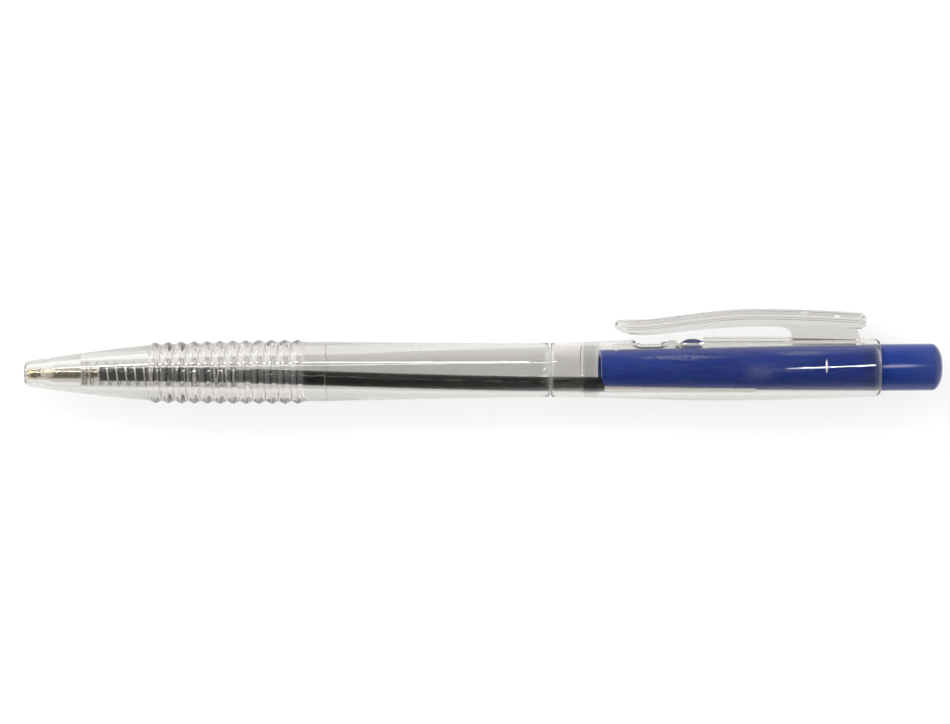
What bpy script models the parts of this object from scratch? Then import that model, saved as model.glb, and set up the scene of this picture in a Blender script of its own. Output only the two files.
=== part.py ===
"""Retractable ball pen: clear two-part barrel, push plunger with a latch tongue, spring and refill.

The pen lies on its side with the nose toward -X, the button toward +X and the clip toward +Y.
Shapes are drawn from the nose face along the pen's axis (x), toward the clip (y) and up (z).
"""

import math

import bmesh
import bpy
from mathutils import Matrix, Vector
from mathutils.geometry import interpolate_bezier

# Nose and writing tip
BALL_RADIUS = 0.0005
BALL_PLAY = 0.00004
BALL_INSET = 0.0006
CUP_RIM_ANGLE = 75.0
CUP_WALL = 0.00018
TIP_RADIUS = 0.0009
TIP_POINT_FLARE = 0.0001
TIP_POINT_FLOOR = 0.0004
TIP_NECK_RADIUS = 0.0006
TIP_NECK_STEP = 0.0001
TIP_NECK_LENGTH = 0.0006
TIP_SHOULDER_LENGTH = 0.0009
SHANK_LENGTH = 0.0008
TIP_PLAY = 0.0001
NOSE_LIP = 0.0005
NOSE_HOLE_LENGTH = 0.0035
NOSE_STEP_LENGTH = 0.0005
NOSE_ROUND_LENGTH = 0.0018
NOSE_SHOULDER_RADIUS = 0.0022
NOSE_BULGE = 0.00015
TIP_CHAMBER_LENGTH = 0.005
TIP_CHAMBER_PLAY = 0.00045

# Ribbed grip
NOSE_LENGTH = 0.0196
GRIP_START_RADIUS = 0.0044
GRIP_RADIUS = 0.0047
RIB_COUNT = 12
RIB_PITCH = 0.00205
RIB_HEIGHT = 0.00038
COLLAR_LENGTH = 0.0034

# Waist, where the spigot of the front barrel fits into the rear barrel
FRONT_LENGTH = 0.0829
WAIST_RADIUS = 0.0043
PARTING_GAP = 0.0003
SPIGOT_LENGTH = 0.0052
SPIGOT_WALL = 0.00031
SPIGOT_FIT = 0.00003
SOCKET_RIM = 0.00034

# Rear barrel
REAR_LENGTH = 0.052
BODY_WALL = 0.0012
BODY_BULGE_FROM_REAR = 0.0235
MOUTH_WALL = 0.00075
MOUTH_ROUND = 0.0012
MOUTH_LIP = 0.0002

# Plunger and button
BUTTON_RADIUS = 0.0037
BUTTON_PLAY = 0.00015
BUTTON_OUT = 0.0098
BUTTON_DOME = 0.0009
BUTTON_EDGE = 0.0006
BUTTON_FLAT_RADIUS = 0.0012
BUTTON_WALL = 0.002
PLUNGER_LENGTH = 0.0542
PLUNGER_PLAY = 0.0005
PLUNGER_WALL = 0.0009
FRONT_RAKE = 0.0004
SLANT_LENGTH = 0.0012
SLANT_HEIGHT = 0.0021
CHANNEL_LENGTH = 0.0247
CHANNEL_PLAY = 0.00015
REFILL_END_GAP = 0.0001

# Latch: a tongue with a pip that catches in one of two windows
STROKE = 0.0062
OVERTRAVEL = 0.0008
TONGUE_ROOT = 0.0029
TONGUE_WIDTH = 0.0024
TONGUE_GAP = 0.0003
TONGUE_BEYOND_PIP = 0.0009
PIP_FROM_FRONT = 0.0134
PIP_RAMP = 0.0013
PIP_TOP = 0.0013
PIP_SIDE_STEP = 0.0002
PIP_CATCH = 0.00055
WINDOW_LEAD = 0.0002
WINDOW_PLAY = 0.0006
WINDOW_SIDE_PLAY = 0.0005
SCOOP_FLOOR = 0.0001
SCOOP_RAMP = 0.0013
BRIDGE_RISE = 0.00072
CHEEK_RISE = 0.00085
VALLEY_RISE = 0.00025

# Pocket clip, moulded on the rear barrel
CLIP_LENGTH = 0.0398
CLIP_SETBACK = 0.0021
CLIP_WIDTH = 0.0042
CLIP_TIP_WIDTH = 0.0036
CLIP_END_INSET = 0.0007
CLIP_CROWN = 0.00026
CLIP_PLATE = 0.00042
CLIP_PLATE_STEP = 0.00028
CLIP_BAR_DEPTH = 0.0013
CLIP_WEB_STEP = 0.00025
CLIP_WEB_DEPTH = 0.001
CLIP_INNER_ROUND = 0.0002
CLIP_CREST_FROM_HEAD = 0.0175
CLIP_CREST_RISE = 0.00436
CLIP_CLIMB_POWER = 1.3
CLIP_FALL_POWER = 1.6
CLIP_HEAD_RISE = 0.0036
CLIP_TIP_RISE = 0.00284
CLIP_GAP = 0.0015
CLIP_TIP_GAP = 0.0003
CLIP_TOUCH_FROM_TIP = 0.0048
CLIP_UPTURN = 0.0015
CLIP_HEAD_DEPTH = 0.0026
CLIP_NOSE_ROUND = 0.0009
CLIP_PLAN_ROUND = 0.0026
CLIP_HEAD_ROUND = 0.0011
CLIP_HEAD_DROP = 0.0009
CLIP_HEAD_LIFT = 0.00055
FOOT_LENGTH = 0.0101
FOOT_OVERHANG = 0.0015
FOOT_WIDTH = 0.0028
FOOT_ARCH = 0.0022
FOOT_RAKE = 0.0004

# Refill
REFILL_RADIUS = 0.0012
REFILL_BORE_RADIUS = 0.00074
REFILL_CLEARANCE = 0.00005
REFILL_BEND_PAST_FRONT = 0.0038
INK_GAP = 0.00002
INK_START_GAP = 0.0001
EMPTY_LENGTH = 0.0237
CRIMP_LENGTH = 0.0022
CRIMP_HEIGHT = 0.0021
CRIMP_BORE_HEIGHT = 0.0008
CRIMP_BORE_WIDTH = 0.0018
TIP_SEAT_GAP = 0.00005
SHANK_FIT = 0.00008

# Return spring
SPRING_RADIUS = 0.002
SPRING_WIRE_RADIUS = 0.00016
SPRING_PLAY = 0.0001
SPRING_LENGTH = 0.0239
SPRING_TURNS = 15
SPRING_CLOSED_TURNS = 2
SPRING_COIL_GAP = 0.00013
SPRING_END_GAP = 0.00005

# Share of a quarter circle's radius at which the handles of its curve lie
QUARTER_PULL = 0.5523

# Facets
TURNED_STEPS = 32
TUBE_STEPS = 16
WIRE_STEPS = 6
COIL_STEPS = 12
RIB_STEPS = 6
CLIP_STEPS = 14
CLIP_END_STEPS = 6
TONGUE_STEPS = 6
CUP_STEPS = 3
BORE_STEPS = 5

# Places along the pen, worked out from the sizes above
nose_hole_radius = TIP_RADIUS + TIP_PLAY
chamber_start = NOSE_HOLE_LENGTH + NOSE_STEP_LENGTH
spring_seat = chamber_start + TIP_CHAMBER_LENGTH
tip_end = chamber_start + STROKE + OVERTRAVEL
grip_end = NOSE_LENGTH + RIB_COUNT * RIB_PITCH
collar_end = grip_end + COLLAR_LENGTH
spigot_end = FRONT_LENGTH + SPIGOT_LENGTH
rear_start = FRONT_LENGTH + PARTING_GAP
rear_end = rear_start + REAR_LENGTH
pen_length = rear_end + BUTTON_OUT
plunger_front = pen_length - PLUNGER_LENGTH
channel_end = plunger_front + CHANNEL_LENGTH
tube_front = tip_end + TIP_SEAT_GAP
tube_rear = channel_end - REFILL_END_GAP
bend_end = plunger_front + REFILL_BEND_PAST_FRONT
spring_front = spring_seat + SPRING_END_GAP
spring_rear = spring_front + SPRING_LENGTH
crimp_front = spring_rear + SPRING_END_GAP
crimp_rear = crimp_front + CRIMP_LENGTH

# Radii, worked out from the sizes above
spigot_radius = WAIST_RADIUS - SOCKET_RIM - SPIGOT_FIT
spigot_bore = spigot_radius - SPIGOT_WALL
socket_radius = WAIST_RADIUS - SOCKET_RIM
rear_bore = BUTTON_RADIUS + BUTTON_PLAY
body_radius = rear_bore + BODY_WALL
mouth_radius = rear_bore + MOUTH_WALL
narrowest_bore = min(spigot_bore, rear_bore)
plunger_front_radius = narrowest_bore - PLUNGER_PLAY
plunger_bore = plunger_front_radius - PLUNGER_WALL
spring_bore = SPRING_RADIUS + SPRING_PLAY
refill_offset = narrowest_bore - REFILL_RADIUS - REFILL_CLEARANCE
channel_width = 2 * (REFILL_RADIUS + CHANNEL_PLAY)
coil_radius = SPRING_RADIUS - SPRING_WIRE_RADIUS

# Latch places: the pip's front and rear faces and the window edges round them
pip_front = plunger_front + PIP_FROM_FRONT
pip_rear = pip_front + PIP_RAMP + PIP_TOP
pip_height = rear_bore + PIP_CATCH
pip_width = TONGUE_WIDTH - 2 * PIP_SIDE_STEP
window_width = pip_width + 2 * WINDOW_SIDE_PLAY
tongue_front = plunger_front + TONGUE_ROOT
tongue_rear = pip_rear + TONGUE_BEYOND_PIP
rear_window = (pip_front - WINDOW_LEAD, pip_rear + WINDOW_PLAY)
front_window = (pip_front - STROKE - OVERTRAVEL - WINDOW_LEAD, pip_rear - STROKE + WINDOW_PLAY)

# Clip places and heights
clip_head = rear_end - CLIP_SETBACK
clip_tip = clip_head - CLIP_LENGTH
clip_crest = clip_head - CLIP_CREST_FROM_HEAD
clip_touch = clip_tip + CLIP_TOUCH_FROM_TIP
clip_top = body_radius + CLIP_CREST_RISE
foot_rear = clip_head - FOOT_OVERHANG
foot_front = foot_rear - FOOT_LENGTH
lying_height = max(body_radius, GRIP_RADIUS + RIB_HEIGHT)


def clear_scene():
    for obj in list(bpy.data.objects):
        bpy.data.objects.remove(obj, do_unlink=True)


def make_material(name, colour, roughness, metallic=0.0, see_through=0.0):
    material = bpy.data.materials.new(name)
    material.use_nodes = True
    shader = material.node_tree.nodes["Principled BSDF"]
    shader.inputs["Base Color"].default_value = (*colour, 1.0)
    shader.inputs["Roughness"].default_value = roughness
    shader.inputs["Metallic"].default_value = metallic
    shader.inputs["Transmission Weight"].default_value = see_through
    return material


def make_object(name, bm, material, origin=(0.0, 0.0, 0.0)):
    """Turns a bmesh drawn in the pen's coordinates into an object whose origin is the given point."""
    bmesh.ops.recalc_face_normals(bm, faces=bm.faces)
    bmesh.ops.translate(bm, verts=bm.verts, vec=-Vector(origin))
    mesh = bpy.data.meshes.new(name)
    bm.to_mesh(mesh)
    bm.free()
    mesh.materials.append(material)
    mesh.shade_smooth()
    mesh.set_sharp_from_angle(angle=math.radians(35))
    obj = bpy.data.objects.new(name, mesh)
    obj.location = origin
    bpy.context.scene.collection.objects.link(obj)
    return obj


def combine(obj, tool, operation):
    """Cuts a helper from an object, or joins it to the object, and hides the helper."""
    tool.hide_render = True
    tool.display_type = "WIRE"
    modifier = obj.modifiers.new(f"{operation.lower()} {tool.name}", "BOOLEAN")
    modifier.operation = operation
    modifier.solver = "EXACT"
    modifier.object = tool


def bezier(start, pull_start, pull_end, end, count):
    """Points of a cubic curve through start and end, both included."""
    corners = [Vector((*point, 0.0)) for point in (start, pull_start, pull_end, end)]
    return [(point.x, point.y) for point in interpolate_bezier(*corners, count)]


def ease(value):
    """Smooth step from 0 to 1 with level ends."""
    value = min(max(value, 0.0), 1.0)
    return value * value * (3.0 - 2.0 * value)


def spun(outline, steps=TURNED_STEPS):
    """A closed outline of (x, radius) points, turned about the pen's axis."""
    bm = bmesh.new()
    corners = [bm.verts.new((x, radius, 0.0)) for x, radius in outline]
    edges = [bm.edges.new((a, b)) for a, b in zip(corners, corners[1:] + corners[:1])]
    bmesh.ops.spin(
        bm,
        geom=corners + edges,
        cent=(0.0, 0.0, 0.0),
        axis=(1.0, 0.0, 0.0),
        angle=2.0 * math.pi,
        steps=steps,
        use_merge=True,
    )
    bmesh.ops.remove_doubles(bm, verts=bm.verts, dist=1e-7)
    return bm


def lofted(rings, joined_ends=False):
    """Faces between rings of points; the first and last ring are capped, or joined into a tube wall."""
    bm = bmesh.new()
    loops = [[bm.verts.new(point) for point in ring] for ring in rings]
    follows = loops[1:] + loops[:1] if joined_ends else loops[1:]
    for ring, following in zip(loops, follows):
        for i in range(len(ring)):
            j = (i + 1) % len(ring)
            bm.faces.new((ring[i], ring[j], following[j], following[i]))
    if not joined_ends:
        bm.faces.new(loops[0])
        bm.faces.new(loops[-1])
    return bm


def extruded(outline, width):
    """An outline of (x, y) points, extruded across the pen to the given width."""
    bm = bmesh.new()
    face = bm.faces.new([bm.verts.new((x, y, -width / 2)) for x, y in outline])
    swept = bmesh.ops.extrude_face_region(bm, geom=[face])
    moved = [item for item in swept["geom"] if isinstance(item, bmesh.types.BMVert)]
    bmesh.ops.translate(bm, verts=moved, vec=(0.0, 0.0, width))
    return bm


def ellipse(x, centre, half_height, half_width, steps):
    """A ring across the pen's axis, with its first point toward the clip."""
    turns = [2.0 * math.pi * i / steps for i in range(steps)]
    return [(x, centre + half_height * math.cos(a), half_width * math.sin(a)) for a in turns]


def refill_axis(x):
    """Height of the refill's centre line: it leaves the axis at the nose, bends down to the spigot's bore
    and lies on the rear barrel's bore at its end."""
    bend = ease((x - NOSE_HOLE_LENGTH) / (bend_end - NOSE_HOLE_LENGTH))
    settle = ease((x - bend_end) / (tube_rear - bend_end))
    return -refill_offset * bend - (rear_bore - narrowest_bore) * settle


def refill_reach(x):
    """Radius of a bore that the refill clears at a place along the pen, also when the button is pressed."""
    return REFILL_RADIUS + REFILL_CLEARANCE - refill_axis(x + STROKE + OVERTRAVEL)


def plunger_radius(x):
    """The plunger tapers from the button to its front end."""
    share = (x - plunger_front) / (rear_end - plunger_front)
    return plunger_front_radius + (BUTTON_RADIUS - plunger_front_radius) * share


def grip_radius(x):
    """Radius of the grip between its ribs, which swells quickly behind the nose."""
    share = (x - NOSE_LENGTH) / (grip_end - NOSE_LENGTH)
    return GRIP_START_RADIUS + (GRIP_RADIUS - GRIP_START_RADIUS) * (1.0 - (1.0 - share) ** 2)


def ribbed_grip():
    """Ring-shaped ribs, each a smooth wave from valley to valley."""
    points = []
    for i in range(RIB_COUNT * RIB_STEPS):
        x = NOSE_LENGTH + RIB_PITCH * i / RIB_STEPS
        wave = 0.5 - 0.5 * math.cos(2.0 * math.pi * i / RIB_STEPS)
        points.append((x, grip_radius(x) + RIB_HEIGHT * wave))
    return points + [(grip_end, GRIP_RADIUS)]


def front_barrel(material):
    face_radius = nose_hole_radius + NOSE_LIP
    nose_round = bezier(
        (0.0, face_radius),
        (0.0, (face_radius + NOSE_SHOULDER_RADIUS) / 2),
        (NOSE_ROUND_LENGTH / 2, NOSE_SHOULDER_RADIUS),
        (NOSE_ROUND_LENGTH, NOSE_SHOULDER_RADIUS),
        4,
    )
    third = (NOSE_LENGTH - NOSE_ROUND_LENGTH) / 3
    rise = (GRIP_START_RADIUS - NOSE_SHOULDER_RADIUS) / 3
    cone = bezier(
        (NOSE_ROUND_LENGTH, NOSE_SHOULDER_RADIUS),
        (NOSE_ROUND_LENGTH + third, NOSE_SHOULDER_RADIUS + rise + NOSE_BULGE),
        (NOSE_LENGTH - third, GRIP_START_RADIUS - rise + NOSE_BULGE),
        (NOSE_LENGTH, GRIP_START_RADIUS),
        6,
    )
    taper = (FRONT_LENGTH - collar_end) / 3
    neck = bezier(
        (collar_end, GRIP_RADIUS),
        (collar_end + taper, (GRIP_RADIUS + WAIST_RADIUS) / 2),
        (FRONT_LENGTH - taper, WAIST_RADIUS),
        (FRONT_LENGTH, WAIST_RADIUS),
        6,
    )
    spigot = [
        (FRONT_LENGTH, spigot_radius),
        (spigot_end, spigot_radius),
        (spigot_end, spigot_bore),
        (FRONT_LENGTH, spigot_bore),
    ]
    chamber_radius = nose_hole_radius + TIP_CHAMBER_PLAY
    grip_bore = spring_bore - refill_axis(crimp_rear)
    bore = []
    for i in range(1, BORE_STEPS + 1):
        x = FRONT_LENGTH + (collar_end - FRONT_LENGTH) * i / BORE_STEPS
        bore.append((x, max(refill_reach(x), grip_bore)))
    bore += [
        (crimp_rear, grip_bore),
        (spring_seat, spring_bore),
        (spring_seat, chamber_radius),
        (chamber_start, chamber_radius),
        (NOSE_HOLE_LENGTH, nose_hole_radius),
        (0.0, nose_hole_radius),
    ]
    outline = nose_round + cone[1:-1] + ribbed_grip() + neck + spigot + bore
    return make_object("front_barrel", spun(outline), material)


def rear_shell():
    """The rear barrel without its clip and cuts: a socket, a gentle swell and a rounded mouth."""
    bulge = rear_end - BODY_BULGE_FROM_REAR
    swell = (bulge - rear_start) / 3
    front = bezier(
        (rear_start, WAIST_RADIUS),
        (rear_start + swell, WAIST_RADIUS),
        (bulge - swell, body_radius),
        (bulge, body_radius),
        8,
    )
    shoulder = rear_end - MOUTH_ROUND
    fall = (shoulder - bulge) / 3
    rear = bezier(
        (bulge, body_radius),
        (bulge + fall, body_radius),
        (shoulder - fall, (body_radius + mouth_radius) / 2),
        (shoulder, mouth_radius),
        6,
    )
    mouth_edge = rear_bore + MOUTH_LIP
    mouth = bezier(
        (shoulder, mouth_radius),
        (rear_end - MOUTH_ROUND / 2, mouth_radius),
        (rear_end, (mouth_radius + mouth_edge) / 2),
        (rear_end, mouth_edge),
        4,
    )
    socket_end = spigot_end + PARTING_GAP
    bore = [
        (rear_end, rear_bore),
        (socket_end, rear_bore),
        (socket_end, socket_radius),
        (rear_start, socket_radius),
    ]
    return spun(front + rear[1:] + mouth[1:] + bore)


def quarter(share):
    """Drop of a quarter of a circle after a share of its run, from 0 to 1."""
    return 1.0 - math.sqrt(1.0 - min(max(share, 0.0), 1.0) ** 2)


def clip_edges(x):
    """Inner and outer height of the clip at a place along the pen."""
    tip_top = body_radius + CLIP_TIP_RISE
    to_crest = min(max((x - clip_touch) / (clip_crest - clip_touch), 0.0), 1.0)
    climb = math.sin(math.pi / 2 * to_crest) ** CLIP_CLIMB_POWER
    outer = tip_top + (clip_top - tip_top) * climb
    inner = body_radius + CLIP_TIP_GAP + (CLIP_GAP - CLIP_TIP_GAP) * climb
    past_crest = max((x - clip_crest) / (clip_head - clip_crest), 0.0)
    outer -= (CLIP_CREST_RISE - CLIP_HEAD_RISE) * past_crest**CLIP_FALL_POWER
    inner += (CLIP_HEAD_RISE - CLIP_HEAD_DEPTH - CLIP_GAP) * ease(past_crest)
    inner += CLIP_UPTURN * quarter((clip_touch - x) / CLIP_TOUCH_FROM_TIP)
    nose_drop = CLIP_TIP_RISE - CLIP_TIP_GAP - CLIP_UPTURN
    outer -= nose_drop * quarter((clip_tip + CLIP_NOSE_ROUND - x) / CLIP_NOSE_ROUND)
    head = quarter((x - clip_head + CLIP_HEAD_ROUND) / CLIP_HEAD_ROUND)
    return inner + CLIP_HEAD_LIFT * head, outer - CLIP_HEAD_DROP * head


def clip_section(x):
    """A crowned plate on a narrower bar and a still narrower web, which close in toward both ends."""
    inner, outer = clip_edges(x)
    head = 1.0 - quarter((x - clip_head + CLIP_HEAD_ROUND) / CLIP_HEAD_ROUND)
    nose = 1.0 - quarter((clip_tip + CLIP_PLAN_ROUND - x) / CLIP_PLAN_ROUND)
    along = (x - clip_tip) / CLIP_LENGTH
    full_width = CLIP_TIP_WIDTH + (CLIP_WIDTH - CLIP_TIP_WIDTH) * along
    depth = outer - inner
    scale = min(1.0, depth / (CLIP_BAR_DEPTH + CLIP_WEB_DEPTH))
    edge = full_width / 2 - CLIP_END_INSET * (2.0 - head - nose)
    bar = edge - CLIP_PLATE_STEP * scale * head * nose
    web = bar - CLIP_WEB_STEP * scale * head * nose
    inner_round = CLIP_INNER_ROUND * scale
    half = [
        (edge / 2, CLIP_CROWN / 4 * scale),
        (edge, CLIP_CROWN * scale),
        (edge, CLIP_PLATE * scale),
        (bar, CLIP_PLATE * scale),
        (bar, CLIP_BAR_DEPTH * scale),
        (web, (CLIP_BAR_DEPTH + CLIP_WEB_STEP) * scale),
        (web, depth - inner_round),
        (web - inner_round, depth),
    ]
    ring = [(0.0, 0.0)] + half + [(-side, drop) for side, drop in reversed(half)]
    return [(x, outer - drop, side) for side, drop in ring]


def clip_bar(material):
    """Sections along the clip, close together where its ends are rounded."""
    plain = CLIP_LENGTH - CLIP_PLAN_ROUND - CLIP_HEAD_ROUND
    shares = [(i / CLIP_END_STEPS) ** 2 for i in range(CLIP_END_STEPS)]
    nose = [clip_tip + CLIP_PLAN_ROUND * share for share in shares[1:]]
    straight = [clip_tip + CLIP_PLAN_ROUND + plain * i / CLIP_STEPS for i in range(CLIP_STEPS + 1)]
    head = [clip_head - CLIP_HEAD_ROUND * share for share in reversed(shares)]
    bm = lofted([clip_section(x) for x in nose + straight + head])
    return make_object("clip_bar", bm, material)


def clip_foot(material):
    """The web that carries the clip: an arched front edge and a slightly raked rear edge."""
    sunk = (rear_bore + mouth_radius) / 2
    inner_front, _ = clip_edges(foot_front - FOOT_ARCH)
    inner_rear, outer_rear = clip_edges(foot_rear)
    overlap = (outer_rear - inner_rear) / 2
    arch_rise = inner_front - body_radius
    arch = bezier(
        (foot_front, body_radius),
        (foot_front, body_radius + arch_rise * QUARTER_PULL),
        (foot_front - FOOT_ARCH * (1 - QUARTER_PULL), inner_front),
        (foot_front - FOOT_ARCH, inner_front),
        6,
    )
    outline = [
        (foot_front, sunk),
        *arch,
        (foot_front - FOOT_ARCH, inner_front + overlap),
        (foot_rear, inner_rear + overlap),
        (foot_rear, inner_rear),
        (foot_rear + FOOT_RAKE, mouth_radius),
        (foot_rear + FOOT_RAKE, sunk),
    ]
    return make_object("clip_foot", extruded(outline, FOOT_WIDTH), material)


def latch_recess(material):
    """Cutter for the finger scoop, the rounded bridge between the windows and the cheeks by the pip."""
    floor = rear_bore + SCOOP_FLOOR
    valley = rear_bore + VALLEY_RISE
    above = 2 * body_radius
    scoop_start = front_window[0] - SCOOP_RAMP
    bridge_front = front_window[1] - WINDOW_PLAY
    bridge_rear = rear_window[0] - WINDOW_PLAY / 2
    bridge_round = (bridge_rear - bridge_front) / 3
    cheek_round = (rear_window[1] - bridge_rear) / 3
    ramp = bezier(
        (scoop_start, body_radius),
        (scoop_start + SCOOP_RAMP / 2, (body_radius + floor) / 2),
        (front_window[0], floor),
        (front_window[0] + SCOOP_RAMP / 2, floor),
        5,
    )
    bridge = bezier(
        (bridge_front, floor),
        (bridge_front + bridge_round, rear_bore + BRIDGE_RISE * 4 / 3),
        (bridge_rear - bridge_round, rear_bore + BRIDGE_RISE * 4 / 3),
        (bridge_rear, valley),
        7,
    )
    cheek = bezier(
        (bridge_rear, valley),
        (bridge_rear + cheek_round, rear_bore + CHEEK_RISE * 4 / 3),
        (rear_window[1] - cheek_round, rear_bore + CHEEK_RISE * 4 / 3),
        (rear_window[1], valley),
        7,
    )
    wall = [(rear_window[1], body_radius), (rear_window[1] + WINDOW_PLAY, above)]
    outline = [(scoop_start, above)] + ramp + bridge + cheek[1:] + wall
    return make_object("latch_recess", extruded(outline, 3 * body_radius), material)


def latch_window(name, edges, material):
    """Cutter for one window through the wall above the bore."""
    front, rear = edges
    low = rear_bore - BODY_WALL
    high = 2 * body_radius
    outline = [(front, low), (front, high), (rear, high), (rear, low)]
    return make_object(name, extruded(outline, window_width), material)


def rear_barrel(material):
    shell = make_object("rear_barrel", rear_shell(), material)
    combine(shell, latch_recess(material), "DIFFERENCE")
    combine(shell, latch_window("front_window", front_window, material), "DIFFERENCE")
    combine(shell, latch_window("rear_window", rear_window, material), "DIFFERENCE")
    combine(shell, clip_foot(material), "UNION")
    combine(shell, clip_bar(material), "UNION")
    return shell


def plunger_shell():
    """A cup open at the front, closed by the domed button at the rear."""
    edge = pen_length - BUTTON_DOME
    side = [(plunger_front, plunger_front_radius), (rear_end, BUTTON_RADIUS)]
    rounded = bezier(
        (edge - BUTTON_EDGE, BUTTON_RADIUS),
        (edge, BUTTON_RADIUS),
        (pen_length, (BUTTON_RADIUS + BUTTON_FLAT_RADIUS) / 2),
        (pen_length, BUTTON_FLAT_RADIUS),
        6,
    )
    inside_end = pen_length - BUTTON_WALL
    inside = [(pen_length, 0.0), (inside_end, 0.0), (inside_end, plunger_bore), (plunger_front, plunger_bore)]
    return spun(side + rounded + inside)


def plunger(material):
    body = make_object("plunger", plunger_shell(), material)
    before = plunger_front - SLANT_LENGTH
    below = -2 * body_radius
    channel = [(before, 0.0), (before, below), (channel_end, below), (channel_end, 0.0)]
    combine(body, make_object("channel", extruded(channel, channel_width), material), "DIFFERENCE")
    slope = SLANT_HEIGHT / SLANT_LENGTH
    slant_top = SLANT_HEIGHT - plunger_front_radius
    slant = [
        (before, slant_top + slope * SLANT_LENGTH),
        (plunger_front + 2 * SLANT_LENGTH, slant_top - slope * 2 * SLANT_LENGTH),
        (before, slant_top - slope * 2 * SLANT_LENGTH),
    ]
    combine(body, make_object("front_slant", extruded(slant, 3 * body_radius), material), "DIFFERENCE")
    side = 2 * plunger_front_radius
    rake = [
        (before, -side),
        (plunger_front - FRONT_RAKE / 2, -side),
        (plunger_front + FRONT_RAKE * 3 / 2, side),
        (before, side),
    ]
    rake_bm = extruded(rake, 3 * body_radius)
    bmesh.ops.rotate(rake_bm, verts=rake_bm.verts, matrix=Matrix.Rotation(math.pi / 2, 3, "X"))
    combine(body, make_object("front_rake", rake_bm, material), "DIFFERENCE")
    slot = [
        (tongue_front - TONGUE_GAP, 0.0),
        (tongue_front - TONGUE_GAP, body_radius),
        (tongue_rear + TONGUE_GAP, body_radius),
        (tongue_rear + TONGUE_GAP, 0.0),
    ]
    slot_width = TONGUE_WIDTH + 2 * TONGUE_GAP
    combine(body, make_object("tongue_slot", extruded(slot, slot_width), material), "DIFFERENCE")
    return body


def latch_tongue(material):
    """The strip of the plunger's wall between the slots, with a ramped pip on it."""
    root = (tongue_front, plunger_radius(tongue_front) - PLUNGER_WALL / 2, 0.0)
    rings = []
    for x in (tongue_front, tongue_rear):
        outer = plunger_radius(x)
        half = TONGUE_WIDTH / 2
        crown = []
        for i in range(TONGUE_STEPS + 1):
            z = half - TONGUE_WIDTH * i / TONGUE_STEPS
            crown.append((x, math.sqrt(outer**2 - z**2), z))
        under = math.sqrt(outer**2 - half**2) - PLUNGER_WALL
        rings.append(crown + [(x, under, -half), (x, under, half)])
    tongue = make_object("latch_tongue", lofted(rings), material, root)
    foot = plunger_radius(pip_front)
    sunk = foot - PLUNGER_WALL / 2
    ramp = bezier(
        (pip_front, foot),
        (pip_front + PIP_RAMP / 3, (foot + pip_height) / 2),
        (pip_front + PIP_RAMP / 2, pip_height),
        (pip_front + PIP_RAMP, pip_height),
        6,
    )
    pip = [(pip_front, sunk), *ramp, (pip_rear, pip_height), (pip_rear, sunk)]
    combine(tongue, make_object("pip", extruded(pip, pip_width), material), "UNION")
    return tongue


def spring_centre_line(turns_done):
    """Place along the pen after a number of turns: closed coils at both ends, open ones between."""
    wire = 2 * SPRING_WIRE_RADIUS
    closed = SPRING_CLOSED_TURNS * (wire + SPRING_COIL_GAP)
    open_length = SPRING_LENGTH - wire - 2 * closed
    start = spring_front + SPRING_WIRE_RADIUS
    if turns_done < SPRING_CLOSED_TURNS:
        return start + closed * turns_done / SPRING_CLOSED_TURNS
    open_done = min(turns_done - SPRING_CLOSED_TURNS, SPRING_TURNS)
    end_done = max(turns_done - SPRING_CLOSED_TURNS - SPRING_TURNS, 0.0)
    return start + closed * (1 + end_done / SPRING_CLOSED_TURNS) + open_length * open_done / SPRING_TURNS


def return_spring(material):
    total = SPRING_TURNS + 2 * SPRING_CLOSED_TURNS
    rings = []
    for i in range(int(total * COIL_STEPS) + 1):
        turns = i / COIL_STEPS
        angle = 2.0 * math.pi * turns
        x = spring_centre_line(turns)
        outward = Vector((0.0, math.cos(angle), math.sin(angle)))
        centre = Vector((x, refill_axis(x), 0.0)) + coil_radius * outward
        ring = []
        for j in range(WIRE_STEPS):
            turn = 2.0 * math.pi * j / WIRE_STEPS
            along = SPRING_WIRE_RADIUS * math.sin(turn)
            ring.append(centre + SPRING_WIRE_RADIUS * math.cos(turn) * outward + Vector((along, 0.0, 0.0)))
        rings.append(ring)
    return make_object("return_spring", lofted(rings), material)


def tube_stations(start, end):
    """Places along the refill where its rings lie: close together at the crimp, wide apart elsewhere."""
    spacing = 5 * REFILL_RADIUS
    blend = REFILL_RADIUS / 2
    marks = [crimp_front - blend, crimp_front, crimp_rear, crimp_rear + blend]
    stops = [start] + [mark for mark in marks if start < mark < end] + [end]
    places = []
    for a, b in zip(stops, stops[1:]):
        count = max(1, round((b - a) / spacing))
        places += [a + (b - a) * i / count for i in range(count)]
    return places + [end]


def tube_ring(x):
    """A ring of the refill's outside: round, or on the crimp spread into ears that hold the spring."""
    if crimp_front <= x <= crimp_rear:
        return ellipse(x, refill_axis(x), CRIMP_HEIGHT / 2, coil_radius, TUBE_STEPS)
    return ellipse(x, refill_axis(x), REFILL_RADIUS, REFILL_RADIUS, TUBE_STEPS)


def bore_ring(x, gap):
    """A ring of the refill's bore, or of the ink in it at the given gap: pinched on the crimp."""
    height, width = REFILL_BORE_RADIUS, REFILL_BORE_RADIUS
    if crimp_front <= x <= crimp_rear:
        height, width = CRIMP_BORE_HEIGHT / 2, CRIMP_BORE_WIDTH / 2
    return ellipse(x, refill_axis(x), height - gap, width - gap, TUBE_STEPS)


def refill_tube(material):
    places = tube_stations(tube_front, tube_rear)
    outside = [tube_ring(x) for x in places]
    inside = [bore_ring(x, 0.0) for x in reversed(places)]
    return make_object("refill_tube", lofted(outside + inside, joined_ends=True), material)


def ink_column(material):
    start = tube_front + SHANK_LENGTH + INK_START_GAP
    rings = [bore_ring(x, INK_GAP) for x in tube_stations(start, tube_rear - EMPTY_LENGTH)]
    return make_object("ink_column", lofted(rings), material)


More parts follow.
